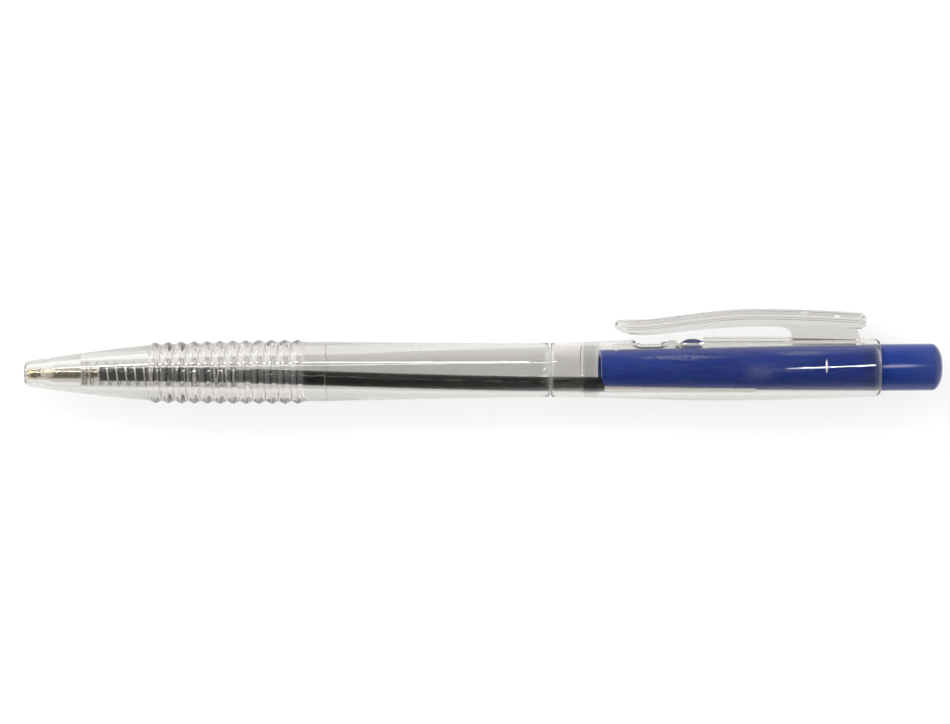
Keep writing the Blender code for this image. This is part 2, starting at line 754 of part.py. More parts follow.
def writing_tip(material):
    """Turned tip: a point that cups the ball, a neck, the body and the shank pressed into the tube."""
    ball_centre = BALL_INSET + BALL_RADIUS
    cup_radius = BALL_RADIUS + BALL_PLAY
    cup = []
    for i in range(CUP_STEPS):
        angle = math.radians(CUP_RIM_ANGLE + (180.0 - CUP_RIM_ANGLE) * i / CUP_STEPS)
        cup.append((ball_centre - cup_radius * math.cos(angle), cup_radius * math.sin(angle)))
    rim, rim_radius = cup[0]
    shank_radius = REFILL_BORE_RADIUS - SHANK_FIT
    shank_end = tube_front + SHANK_LENGTH
    point_radius = rim_radius + CUP_WALL
    point_end = ball_centre + cup_radius + TIP_POINT_FLOOR
    neck_end = point_end + TIP_NECK_STEP + TIP_NECK_LENGTH
    outline = [
        (rim, rim_radius + CUP_WALL / 2),
        (rim + CUP_WALL, point_radius),
        (point_end, point_radius + TIP_POINT_FLARE),
        (point_end + TIP_NECK_STEP, TIP_NECK_RADIUS),
        (neck_end, TIP_NECK_RADIUS),
        (neck_end + TIP_SHOULDER_LENGTH, TIP_RADIUS),
        (tip_end, TIP_RADIUS),
        (tip_end, shank_radius),
        (shank_end, shank_radius),
        (shank_end, 0.0),
        (ball_centre + cup_radius, 0.0),
    ]
    return make_object("writing_tip", spun(outline + cup[::-1], TUBE_STEPS), material)


def tip_ball(material):
    centre = (BALL_INSET + BALL_RADIUS, 0.0, 0.0)
    bm = bmesh.new()
    bmesh.ops.create_uvsphere(bm, u_segments=TUBE_STEPS, v_segments=TUBE_STEPS // 2, radius=BALL_RADIUS)
    bmesh.ops.translate(bm, verts=bm.verts, vec=centre)
    return make_object("tip_ball", bm, material, centre)


def main():
    clear_scene()
    clear = make_material("clear plastic", (0.9, 0.9, 0.87), 0.08, see_through=1.0)
    blue = make_material("blue plastic", (0.02, 0.045, 0.26), 0.32)
    steel = make_material("spring steel", (0.62, 0.62, 0.6), 0.25, metallic=1.0)
    brass = make_material("brass", (0.75, 0.58, 0.25), 0.25, metallic=1.0)
    carbide = make_material("ball carbide", (0.4, 0.4, 0.42), 0.15, metallic=1.0)
    tube = make_material("refill tube", (0.85, 0.85, 0.82), 0.2, see_through=0.8)
    ink = make_material("ink", (0.012, 0.011, 0.014), 0.15)
    pen = bpy.data.objects.new("pen_axis", None)
    pen.location = (-pen_length / 2, -(clip_top - lying_height) / 2, lying_height)
    bpy.context.scene.collection.objects.link(pen)
    pieces = [
        front_barrel(clear),
        rear_barrel(clear),
        plunger(blue),
        latch_tongue(blue),
        return_spring(steel),
        refill_tube(tube),
        ink_column(ink),
        writing_tip(brass),
        tip_ball(carbide),
    ]
    for piece in pieces:
        piece.parent = pen
        for modifier in piece.modifiers:
            modifier.object.parent = pen


main()
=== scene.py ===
"""A clear retractable ball pen lying on a pale floor, seen straight from above.

Every piece is drawn in millimetres in the pen's own frame: x along the pen from the nose face,
y toward the clip and z up. make_piece() moves it to the frame's metres and lets it stand for its
CAD node.
"""

import math

import bmesh
import bpy
from mathutils import Matrix, Vector
from mathutils.geometry import interpolate_bezier


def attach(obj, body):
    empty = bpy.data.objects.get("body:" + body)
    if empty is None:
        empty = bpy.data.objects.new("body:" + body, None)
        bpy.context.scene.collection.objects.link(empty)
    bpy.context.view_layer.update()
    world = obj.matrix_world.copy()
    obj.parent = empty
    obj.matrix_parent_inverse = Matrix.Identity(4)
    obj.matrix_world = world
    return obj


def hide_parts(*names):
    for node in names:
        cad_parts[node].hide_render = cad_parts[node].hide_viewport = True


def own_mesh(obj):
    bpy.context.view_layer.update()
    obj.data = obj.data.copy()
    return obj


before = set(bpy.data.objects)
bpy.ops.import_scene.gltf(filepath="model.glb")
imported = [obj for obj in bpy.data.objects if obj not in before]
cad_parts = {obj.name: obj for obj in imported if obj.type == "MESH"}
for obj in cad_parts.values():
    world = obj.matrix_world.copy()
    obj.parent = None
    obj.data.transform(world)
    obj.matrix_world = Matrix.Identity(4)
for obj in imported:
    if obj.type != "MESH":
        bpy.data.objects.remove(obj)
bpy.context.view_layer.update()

AXIS_Y, AXIS_Z = -0.002165, 0.00508
PEN_TO_FRAME = Matrix.Translation((-0.0725, AXIS_Y, AXIS_Z)) @ Matrix.Scale(0.001, 4)

# Places along the pen, in millimetres
CHAMBER_START, SPRING_SEAT, TIP_END = 4.0, 9.0, 11.0
NOSE_FLAT, NOSE_END, GRIP_END, COLLAR_END = 1.8, 19.6, 44.2, 47.6
FRONT_END, SPIGOT_END, REAR_START, REAR_END, PEN_LENGTH = 82.9, 88.1, 83.2, 135.2, 145.0
BODY_CREST, MOUTH_START = 111.7, 134.0
PLUNGER_FRONT, CHANNEL_END, HOLLOW_END, BUTTON_EDGE = 91.1, 115.5, 143.0, 143.5
TUBE_FRONT, TUBE_REAR = 11.05, 115.4
BEND_START, BEND_END = 3.5, 94.6
CRIMP_FRONT, CRIMP_REAR = 33.0, 35.2
SPRING_FRONT, SPRING_LENGTH = 9.05, 23.9
CLIP_TIP, CLIP_TOUCH, CLIP_CREST, CLIP_HEAD = 93.3, 98.1, 115.6, 133.1
FRONT_WINDOW, REAR_WINDOW = (97.0, 101.2), (104.0, 107.4)
TONGUE_SLOT, TONGUE_START = (93.4, 108.0), 93.7
PIP_FRONT, PIP_REAR = 104.2, 106.8
BALL_CENTRE = 1.1
PRESS = 7.0

# Radii and widths, in millimetres
NOSE_MOUTH, NOSE_TIP, CHAMBER, SPRING_ROOM = 1.0, 2.2, 1.45, 2.1
GRIP_FRONT, GRIP_SWELL, COLLAR = 4.4, 0.3, 4.7
RIBS, RIB_PITCH, RIB_HEIGHT = 12, 2.05, 0.38
WAIST, SPIGOT, SPIGOT_BORE, SOCKET, REAR_BORE = 4.3, 3.93, 3.62, 3.96, 3.85
BODY, MOUTH = 5.05, 4.6
PLUNGER, PLUNGER_FLARE, PLUNGER_BORE, BUTTON, PIP_TOP = 3.12, 0.58, 2.22, 3.7, 4.4
REFILL, REFILL_BORE, REFILL_OFFSET = 1.2, 0.8, 2.37
CRIMP, CRIMP_BORE = (1.05, 1.82), (0.4, 0.9)
BALL, BALL_SEAT, TIP_SHANK, TIP_TAIL = 0.5, 0.54, 0.9, 0.66
CLIP_NOSE = 2.6  # run over which the clip closes in toward its tip
CUTTER_WIDTH, CUTTER_TOP = 15.0, 10.0  # well outside the pen

TURNED_STEPS = 160


def curve(start, pull_start, pull_end, end, count):
    """Points of a cubic curve through start and end."""
    corners = [Vector((*point, 0.0)) for point in (start, pull_start, pull_end, end)]
    return [(point.x, point.y) for point in interpolate_bezier(*corners, count)]


def ease(value):
    value = min(max(value, 0.0), 1.0)
    return value * value * (3.0 - 2.0 * value)


def spun(outline, steps=TURNED_STEPS):
    """A closed outline of (x, radius) points, turned about the pen's axis."""
    bm = bmesh.new()
    corners = [bm.verts.new((x, radius, 0.0)) for x, radius in outline]
    edges = [bm.edges.new((a, b)) for a, b in zip(corners, corners[1:] + corners[:1])]
    bmesh.ops.spin(
        bm,
        geom=corners + edges,
        cent=(0.0, 0.0, 0.0),
        axis=(1.0, 0.0, 0.0),
        angle=2.0 * math.pi,
        steps=steps,
        use_merge=True,
    )
    bmesh.ops.remove_doubles(bm, verts=bm.verts, dist=1e-4)
    return bm


def lofted(rings, joined_ends=False):
    """Faces between rings of points; the end rings are capped, or joined into a tube wall."""
    bm = bmesh.new()
    loops = [[bm.verts.new(point) for point in ring] for ring in rings]
    follows = loops[1:] + loops[:1] if joined_ends else loops[1:]
    for ring, following in zip(loops, follows):
        for i in range(len(ring)):
            j = (i + 1) % len(ring)
            bm.faces.new((ring[i], ring[j], following[j], following[i]))
    if not joined_ends:
        bm.faces.new(loops[0])
        bm.faces.new(loops[-1])
    return bm


def extruded(outline, width):
    """An outline of (x, y) points, extruded across the pen to the given width."""
    bm = bmesh.new()
    face = bm.faces.new([bm.verts.new((x, y, -width / 2)) for x, y in outline])
    swept = bmesh.ops.extrude_face_region(bm, geom=[face])
    moved = [item for item in swept["geom"] if isinstance(item, bmesh.types.BMVert)]
    bmesh.ops.translate(bm, verts=moved, vec=(0.0, 0.0, width))
    return bm


def block(along, height, width):
    """A box from two places along the pen and two heights, to the given width across the pen."""
    (front, rear), (first, last) = along, height
    return extruded([(front, first), (front, last), (rear, last), (rear, first)], width)


def ellipse(x, centre, half_height, half_width, steps):
    turns = [2.0 * math.pi * i / steps for i in range(steps)]
    return [(x, centre + half_height * math.cos(a), half_width * math.sin(a)) for a in turns]


def bare_object(name, bm):
    bmesh.ops.recalc_face_normals(bm, faces=bm.faces)
    mesh = bpy.data.meshes.new(name)
    bm.to_mesh(mesh)
    bm.free()
    obj = bpy.data.objects.new(name, mesh)
    bpy.context.scene.collection.objects.link(obj)
    return obj


def combined(name, bm, steps):
    """Applies (operation, bmesh) pairs to a solid one after the other and returns the result."""
    solid = bare_object(name, bm)
    for i, (operation, tool_bm) in enumerate(steps):
        tool = bare_object(f"{name}_tool_{i}", tool_bm)
        modifier = solid.modifiers.new("combine", "BOOLEAN")
        modifier.operation = operation
        modifier.solver = "EXACT"
        modifier.object = tool
        evaluated = solid.evaluated_get(bpy.context.evaluated_depsgraph_get())
        result = bpy.data.meshes.new_from_object(evaluated)
        solid.modifiers.clear()
        solid.data = result
        bpy.data.objects.remove(tool, do_unlink=True)
    joined = bmesh.new()
    joined.from_mesh(solid.data)
    bpy.data.objects.remove(solid, do_unlink=True)
    bmesh.ops.remove_doubles(joined, verts=joined.verts, dist=1e-4)
    return joined


def make_piece(node, bm, material, body):
    """Puts a shape drawn in the pen's millimetres into the frame, in place of its CAD node."""
    obj = bare_object(f"{node}_look", bm)
    obj.data.transform(PEN_TO_FRAME)
    obj.data.materials.append(material)
    obj.data.shade_smooth()
    obj.data.set_sharp_from_angle(angle=math.radians(32.0))
    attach(obj, body)
    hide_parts(node)
    return obj


# Materials


class Nodes:
    """Short calls that add shader nodes to a tree."""

    def __init__(self, tree):
        self.tree = tree

    def node(self, kind, **settings):
        node = self.tree.nodes.new(kind)
        for key, value in settings.items():
            setattr(node, key, value)
        return node

    def feed(self, socket, value):
        if isinstance(value, bpy.types.NodeSocket):
            self.tree.links.new(value, socket)
        else:
            socket.default_value = value

    def math(self, operation, a, b=0.0, clamp=False):
        node = self.node("ShaderNodeMath", operation=operation, use_clamp=clamp)
        self.feed(node.inputs[0], a)
        self.feed(node.inputs[1], b)
        return node.outputs[0]

    def ramp(self, value, low, high, out_low=0.0, out_high=1.0):
        node = self.node("ShaderNodeMapRange", interpolation_type="SMOOTHSTEP")
        for socket, number in zip(node.inputs[1:5], (low, high, out_low, out_high)):
            socket.default_value = number
        self.feed(node.inputs[0], value)
        return node.outputs[0]


class Surface(Nodes):
    """A Principled material with calls for its textures. Lengths are in the pen's millimetres."""

    def __init__(self, name, **values):
        self.material = bpy.data.materials.new(name)
        self.material.use_nodes = True
        super().__init__(self.material.node_tree)
        self.shader = self.tree.nodes["Principled BSDF"]
        for socket, value in values.items():
            self.shader.inputs[socket.replace("_", " ")].default_value = value
        self.place = None

    def position(self):
        """Place on the piece in the pen's millimetres, as x, y and z."""
        if self.place is None:
            coords = self.node("ShaderNodeTexCoord")
            mapping = self.node("ShaderNodeMapping", vector_type="POINT")
            shift = [-1000.0 * length for length in PEN_TO_FRAME.translation]
            mapping.inputs["Location"].default_value = shift
            mapping.inputs["Scale"].default_value = (1000.0, 1000.0, 1000.0)
            self.tree.links.new(coords.outputs["Object"], mapping.inputs["Vector"])
            split = self.node("ShaderNodeSeparateXYZ")
            self.tree.links.new(mapping.outputs["Vector"], split.inputs[0])
            self.place = mapping.outputs["Vector"], *split.outputs
        return self.place

    def around(self, radius):
        """The same place unrolled: x along the pen and the length of arc round its axis."""
        _, x, y, z = self.position()
        arc = self.math("MULTIPLY", self.math("ARCTAN2", z, y), radius)
        joined = self.node("ShaderNodeCombineXYZ")
        self.feed(joined.inputs[0], x)
        self.feed(joined.inputs[1], arc)
        return joined.outputs[0]

    def noise(self, vector, stretch, detail, roughness=0.5):
        """Noise whose features are about stretch millimetres long in each direction."""
        mapping = self.node("ShaderNodeMapping", vector_type="POINT")
        mapping.inputs["Scale"].default_value = [1.0 / length for length in stretch]
        self.tree.links.new(vector, mapping.inputs["Vector"])
        noise = self.node("ShaderNodeTexNoise")
        noise.inputs["Scale"].default_value = 1.0
        noise.inputs["Detail"].default_value = detail
        noise.inputs["Roughness"].default_value = roughness
        self.tree.links.new(mapping.outputs["Vector"], noise.inputs["Vector"])
        return noise.outputs["Fac"]

    def zone(self, centre, reach):
        """1 at the centre of an ellipsoid, falling to 0 at its surface."""
        vector = self.position()[0]
        away = self.node("ShaderNodeVectorMath", operation="SUBTRACT")
        self.feed(away.inputs[0], vector)
        away.inputs[1].default_value = centre
        share = self.node("ShaderNodeVectorMath", operation="DIVIDE")
        self.feed(share.inputs[0], away.outputs[0])
        share.inputs[1].default_value = reach
        length = self.node("ShaderNodeVectorMath", operation="LENGTH")
        self.feed(length.inputs[0], share.outputs[0])
        return self.ramp(length.outputs["Value"], 1.0, 0.35)

    def colour_mix(self, factor, first, second):
        node = self.node("ShaderNodeMix", data_type="RGBA")
        self.feed(node.inputs[0], factor)
        for socket, colour in zip(node.inputs[6:8], (first, second)):
            self.feed(socket, (*colour, 1.0) if isinstance(colour, tuple) else colour)
        return node.outputs[2]

    def set(self, socket, value):
        self.feed(self.shader.inputs[socket], value)

    def absorb(self, colour, density):
        """Darkens what is seen through the piece; density is for a colour of black, per metre."""
        node = self.node("ShaderNodeVolumeAbsorption")
        node.inputs["Color"].default_value = (*colour, 1.0)
        node.inputs["Density"].default_value = density
        self.feed(self.tree.nodes["Material Output"].inputs["Volume"], node.outputs[0])

    def bump(self, height, depth, strength):
        """Raises the surface by depth millimetres where height is 1."""
        node = self.node("ShaderNodeBump")
        node.inputs["Strength"].default_value = strength
        node.inputs["Distance"].default_value = depth * 0.001
        self.feed(node.inputs["Height"], height)
        self.set("Normal", node.outputs[0])


def clear_plastic(name, tints, density, scuff_and_glint_zones, haze):
    """Clear moulded styrene: faint flow ripples, hairlines and patches of wear that turn milky; two
    milky patches on the clip are painted highlights for glints.

    Tints give a place along the pen, the length of the change and the wall's colour from there on;
    where a tint stands for a shadow, it is painted shade.
    """
    look = Surface(name, IOR=1.57)
    look.absorb((0.67, 0.65, 0.61), density)
    x = look.position()[1]
    colour = tints[0][2]
    for start, length, tint in tints[1:]:
        colour = look.colour_mix(look.ramp(x, start, start + length), colour, tint)
    look.set("Base Color", colour)
    unrolled = look.around(4.6)
    ripples = look.noise(unrolled, (14.0, 2.2, 1.0), 2.0)
    hairlines = look.ramp(look.noise(unrolled, (9.0, 0.05, 1.0), 3.0, 0.6), 0.62, 0.7)
    pitting = look.ramp(look.noise(unrolled, (0.26, 0.17, 1.0), 4.0, 0.7), 0.5, 0.66)
    wear_and_glints = look.math("MULTIPLY", hairlines, haze)
    # Milky zones: real scuffing, and two on the clip that are painted highlights.
    for centre, reach, amount, marks in scuff_and_glint_zones:
        local = look.math("MULTIPLY", look.zone(centre, reach), amount)
        if marks == "pits":
            local = look.math("MULTIPLY", local, pitting)
        wear_and_glints = look.math("MAXIMUM", wear_and_glints, local)
    from_joint = look.math("ABSOLUTE", look.math("SUBTRACT", x, (FRONT_END + REAR_START) / 2))
    wear_and_glints = look.math("MAXIMUM", wear_and_glints, look.ramp(from_joint, 0.3, 0.2, 0.0, 0.15))
    look.set("Transmission Weight", look.math("SUBTRACT", 1.0, wear_and_glints, clamp=True))
    look.set("Roughness", look.math("ADD", look.math("MULTIPLY", wear_and_glints, 0.45), 0.02))
    relief = look.math("MULTIPLY", ripples, 0.5)
    relief = look.math("SUBTRACT", relief, look.math("MULTIPLY", wear_and_glints, 0.35))
    look.bump(relief, 0.006, 0.45)
    return look.material


def blue_plastic():
    """Opaque blue moulding with faint draw lines and an uneven gloss, darker on the button; the
    part inside the barrel is painted brighter, as painted light that makes up for what the barrel
    holds back.
    """
    look = Surface("blue_plastic", IOR=1.5, Specular_IOR_Level=0.4)
    unrolled = look.around(3.6)
    draw_lines = look.noise(unrolled, (30.0, 0.12, 1.0), 3.0, 0.6)
    patches = look.noise(look.position()[0], (5.0, 2.0, 2.0), 3.0)
    shade = look.math("MULTIPLY", draw_lines, 0.6)
    shade = look.math("ADD", shade, look.math("MULTIPLY", patches, 0.4))
    shade = look.ramp(shade, 0.38, 0.62)
    # Painted light: the blue inside the barrel is brighter than the button's own blue, to make up
    # for light the barrel's walls hold back.
    outside_blue = look.colour_mix(shade, (0.0085, 0.026, 0.155), (0.0115, 0.032, 0.185))
    painted_brighter_blue = look.colour_mix(shade, (0.0145, 0.047, 0.33), (0.018, 0.058, 0.39))
    x, bare = look.position()[1], 136.0
    look.set("Base Color", look.colour_mix(look.ramp(x, 130.5, bare), painted_brighter_blue, outside_blue))
    polished = look.ramp(x, 134.4, bare, 0.0, 0.03)
    gloss = look.ramp(patches, 0.3, 0.7, 0.13, 0.22)
    look.set("Roughness", look.math("SUBTRACT", gloss, polished))
    look.bump(draw_lines, 0.01, 0.5)
    return look.material


def drawn_wire():
    look = Surface("spring_steel", Metallic=1.0)
    lines = look.noise(look.position()[0], (0.5, 0.06, 0.06), 3.0)
    look.set("Base Color", look.colour_mix(lines, (0.5, 0.49, 0.47), (0.72, 0.71, 0.68)))
    look.set("Roughness", look.ramp(lines, 0.3, 0.7, 0.14, 0.3))
    look.bump(lines, 0.004, 0.5)
    return look.material


def turned_brass():
    """Brass with the fine rings that a lathe leaves and a little tarnish."""
    look = Surface("tip_brass", Metallic=1.0)
    place = look.position()[0]
    rings = look.noise(place, (0.05, 4.0, 4.0), 2.0)
    tarnish = look.ramp(look.noise(place, (0.9, 0.5, 0.5), 4.0, 0.6), 0.4, 0.7)
    shank = look.colour_mix(tarnish, (0.74, 0.66, 0.52), (0.44, 0.36, 0.25))
    point = look.colour_mix(tarnish, (0.86, 0.68, 0.32), (0.68, 0.5, 0.2))
    look.set("Base Color", look.colour_mix(look.ramp(look.position()[1], 1.7, 1.95), point, shank))
    look.set("Roughness", look.ramp(tarnish, 0.0, 1.0, 0.2, 0.36))
    look.bump(rings, 0.006, 0.5)
    return look.material


def polished_ball():
    look = Surface("ball_metal", Metallic=1.0)
    grain = look.noise(look.position()[0], (0.08, 0.08, 0.08), 2.0)
    look.set("Base Color", look.colour_mix(grain, (0.42, 0.41, 0.4), (0.55, 0.53, 0.5)))
    look.set("Roughness", look.ramp(grain, 0.3, 0.7, 0.08, 0.18))
    return look.material


def tube_plastic():
    """Extruded refill tube, nearly clear, with die lines along it."""
    tint = (0.87, 0.858, 0.835, 1.0)
    look = Surface("tube_plastic", Base_Color=tint, Transmission_Weight=0.99, IOR=1.49)
    die_lines = look.noise(look.position()[0], (40.0, 0.1, 0.1), 2.0)
    look.set("Roughness", look.ramp(die_lines, 0.3, 0.7, 0.04, 0.12))
    look.bump(die_lines, 0.004, 0.4)
    return look.material


def liquid_ink():
    look = Surface("ink", IOR=1.45, Specular_IOR_Level=0.04)
    depth = look.noise(look.position()[0], (6.0, 0.4, 0.4), 3.0)
    look.set("Base Color", look.colour_mix(depth, (0.008, 0.0058, 0.0034), (0.015, 0.011, 0.0065)))
    look.set("Roughness", look.ramp(depth, 0.3, 0.7, 0.12, 0.25))
    return look.material


# Shapes


def refill_axis(x):
    """Height of the refill's centre line: on the axis at the nose, down on the bore at its rear."""
    bend = ease((x - BEND_START) / (BEND_END - BEND_START))
    settle = ease((x - BEND_END) / (TUBE_REAR - BEND_END))
    return -REFILL_OFFSET * bend - (REAR_BORE - SPIGOT_BORE) * settle


def grip_radius(x):
    share = (x - NOSE_END) / (GRIP_END - NOSE_END)
    return GRIP_FRONT + GRIP_SWELL * (1.0 - (1.0 - share) ** 2)


def front_barrel(material):
    """Nose, ribbed grip, neck and spigot, with a bore that clears the bent refill when pressed."""
    mouth = [(0.16, NOSE_MOUTH), (0.05, NOSE_MOUTH + 0.04), (0.0, NOSE_MOUTH + 0.15)]
    nose = curve((0.0, 1.5), (0.0, 1.85), (0.9, NOSE_TIP), (NOSE_FLAT, NOSE_TIP), 14)
    cone = curve((NOSE_FLAT, NOSE_TIP), (7.73, 3.08), (13.67, 3.82), (NOSE_END, GRIP_FRONT), 30)
    ribs, steps = [], 14
    for i in range(RIBS * steps):
        x = NOSE_END + RIB_PITCH * i / steps
        wave = 0.5 - 0.5 * math.cos(2.0 * math.pi * i / steps)
        ribs.append((x, grip_radius(x) + RIB_HEIGHT * wave))
    collar = [
        (GRIP_END, COLLAR),
        (GRIP_END + 1.2, COLLAR + 0.005),
        (COLLAR_END - 0.1, COLLAR),
        (COLLAR_END - 0.05, COLLAR - 0.04),
    ]
    neck_end = (FRONT_END - 0.16, WAIST)
    neck = curve((COLLAR_END, COLLAR), (59.37, 4.5), (71.13, WAIST), neck_end, 26)
    rim = [
        (FRONT_END - 0.08, WAIST - 0.03),
        (FRONT_END - 0.02, WAIST - 0.09),
        (FRONT_END, WAIST - 0.16),
    ]
    spigot = [
        (FRONT_END, SPIGOT),
        (SPIGOT_END - 0.12, SPIGOT),
        (SPIGOT_END, SPIGOT - 0.1),
        (SPIGOT_END, SPIGOT_BORE),
        (FRONT_END, SPIGOT_BORE),
    ]
    grip_bore = SPRING_ROOM - refill_axis(CRIMP_REAR)
    bore = []
    for i in range(1, 17):
        x = FRONT_END + (COLLAR_END - FRONT_END) * i / 16
        bore.append((x, max(REFILL + 0.05 - refill_axis(x + PRESS), grip_bore)))
    bore += [(CRIMP_REAR, grip_bore), (SPRING_SEAT, SPRING_ROOM), (SPRING_SEAT, CHAMBER)]
    bore += curve(
        (CHAMBER_START + 1.2, CHAMBER),
        (CHAMBER_START, CHAMBER),
        (CHAMBER_START - 0.2, NOSE_MOUTH),
        (2.6, NOSE_MOUTH),
        14,
    )
    outline = mouth + nose + cone[1:-1] + ribs + collar + neck + rim + spigot + bore
    return make_piece("front_barrel", spun(outline), material, "barrel")


def rear_shell():
    rim = [
        (REAR_START, SOCKET + 0.16),
        (REAR_START + 0.03, WAIST - 0.09),
        (REAR_START + 0.09, WAIST - 0.03),
    ]
    front = curve((REAR_START + 0.18, WAIST), (92.7, WAIST), (102.2, BODY), (BODY_CREST, BODY), 34)
    rear = curve((BODY_CREST, BODY), (119.1, BODY), (126.6, 4.82), (MOUTH_START, MOUTH), 22)
    edge = (REAR_END, 4.03)
    mouth = curve((MOUTH_START, MOUTH), (134.7, MOUTH - 0.02), (REAR_END, 4.36), edge, 12)
    bore = [
        (REAR_END - 0.02, 3.96),
        (REAR_END - 0.12, REAR_BORE),
        (SPIGOT_END + 0.3, REAR_BORE),
        (SPIGOT_END + 0.3, SOCKET),
        (REAR_START, SOCKET),
    ]
    return spun(rim + front + rear[1:] + mouth[1:] + bore)


def quarter(share):
    """Drop of a quarter of a circle after a share of its run, from 0 to 1."""
    return 1.0 - math.sqrt(1.0 - min(max(share, 0.0), 1.0) ** 2)


def clip_edges(x):
    """Inner and outer height of the clip at a place along the pen."""
    to_crest = min(max((x - CLIP_TOUCH) / (CLIP_CREST - CLIP_TOUCH), 0.0), 1.0)
    climb = math.sin(math.pi / 2 * to_crest) ** 1.3
    past_crest = max((x - CLIP_CREST) / (CLIP_HEAD - CLIP_CREST), 0.0)
    outer = BODY + 2.832 + 1.52 * climb - 0.76 * past_crest**1.6
    inner = BODY + 0.3 + 1.2 * climb - 0.5 * ease(past_crest)
    inner += 1.5 * quarter((CLIP_TOUCH - x) / (CLIP_TOUCH - CLIP_TIP))
    inner += 0.55 * quarter((x - CLIP_HEAD + 0.8) / 0.8)
    outer -= 1.04 * quarter((CLIP_TIP + 0.9 - x) / 0.9)
    outer -= 0.9 * quarter((x - CLIP_HEAD + 1.1) / 1.1)
    return inner, outer


def clip_section(x):
    """A crowned plate on a narrower bar and a still narrower web, closing in toward both ends."""
    inner, outer = clip_edges(x)
    head = 1.0 - quarter((x - CLIP_HEAD + 0.9) / 0.9)
    nose = 1.0 - quarter((CLIP_TIP + CLIP_NOSE - x) / CLIP_NOSE)
    full_width = 3.6 + 0.6 * (x - CLIP_TIP) / (CLIP_HEAD - CLIP_TIP)
    half_width = full_width / 2 - 0.7 * (2.0 - head - nose)
    depth = outer - inner
    scale = min(1.0, depth / 2.3)
    step = scale * head * nose
    crown = [((half_width - 0.12 * scale) * i / 6, 0.26 * (i / 6) ** 2) for i in range(7)]
    plate = [(half_width, 0.34), (half_width, 0.46), (half_width - 0.28 * step, 0.72)]
    bar = [
        (half_width - 0.3 * step, 1.25),
        (half_width - 0.4 * step, 1.35),
        (half_width - 0.5 * step, 1.55),
    ]
    half = [(z, drop * scale) for z, drop in crown + plate + bar]
    web, rounding = half_width - 0.53 * step, 0.2 * scale
    half += [(web, depth - rounding), (web - rounding, depth)]
    both = half[:0:-1] + [(-z, drop) for z, drop in half]
    return [(x, outer - drop, z) for z, drop in both]


def clip_bar():
    """Sections along the clip, closer together at its rounded ends."""
    length = 36.0
    nose = [CLIP_TIP + CLIP_NOSE * (i / 14) ** 2 for i in range(1, 14)]
    straight = [CLIP_TIP + CLIP_NOSE + length * i / 60 for i in range(61)]
    head = [CLIP_HEAD - 1.2 * (i / 12) ** 2 for i in range(11, -1, -1)]
    return lofted([clip_section(x) for x in nose + straight + head])


def clip_foot():
    """The web that carries the clip: an arched front edge and a slightly raked rear edge."""
    front, rear, arch = 121.5, 131.6, 2.2
    root, overlap, rake = 4.22, 0.9, 0.4
    inner_front = clip_edges(front - arch)[0]
    inner_rear = clip_edges(rear)[0]
    rise = inner_front - BODY
    pulls = (front, BODY + rise * 0.55), (front - arch * 0.45, inner_front)
    edge = curve((front, BODY), *pulls, (front - arch, inner_front), 14)
    outline = [(front, root), *edge, (front - arch, inner_front + overlap)]
    outline += [(rear, inner_rear + overlap), (rear, inner_rear)]
    outline += [(rear + rake, MOUTH), (rear + rake, root)]
    return extruded(outline, 2.86)


def hump(start, end, pull):
    """A curve that rises from start toward the pull height and comes down to end."""
    third = (end[0] - start[0]) / 3
    return curve(start, (start[0] + third, pull), (end[0] - third, pull), end, 14)


def latch_recess():
    """Cutter for the finger scoop, the bridge between the windows and the cheeks by the pip."""
    low, valley = REAR_BORE + 0.1, REAR_BORE + 0.25
    scoop, end = FRONT_WINDOW[0], REAR_WINDOW[1]
    start = scoop - 1.3
    halfway = (start + 0.65, (BODY + low) / 2)
    ramp = curve((start, BODY), halfway, (scoop, low), (scoop + 0.65, low), 12)
    bridge_end = REAR_WINDOW[0] - 0.3
    bridge = hump((FRONT_WINDOW[1] - 0.6, low), (bridge_end, valley), REAR_BORE + 0.96)
    cheek = hump((bridge_end, valley), (end, valley), REAR_BORE + 1.133)
    wall = [(end, BODY), (end + 0.6, CUTTER_TOP)]
    return extruded([(start, CUTTER_TOP)] + ramp + bridge + cheek[1:] + wall, CUTTER_WIDTH)


def latch_window(edges):
    return block(edges, (2.65, CUTTER_TOP), 3.0)


def rear_barrel(material):
    steps = [
        ("DIFFERENCE", latch_recess()),
        ("DIFFERENCE", latch_window(FRONT_WINDOW)),
        ("DIFFERENCE", latch_window(REAR_WINDOW)),
        ("UNION", clip_foot()),
        ("UNION", clip_bar()),
    ]
    solid = combined("rear_barrel_solid", rear_shell(), steps)
    return make_piece("rear_barrel", solid, material, "barrel")


def plunger_radius(x):
    return PLUNGER + PLUNGER_FLARE * (x - PLUNGER_FRONT) / (REAR_END - PLUNGER_FRONT)


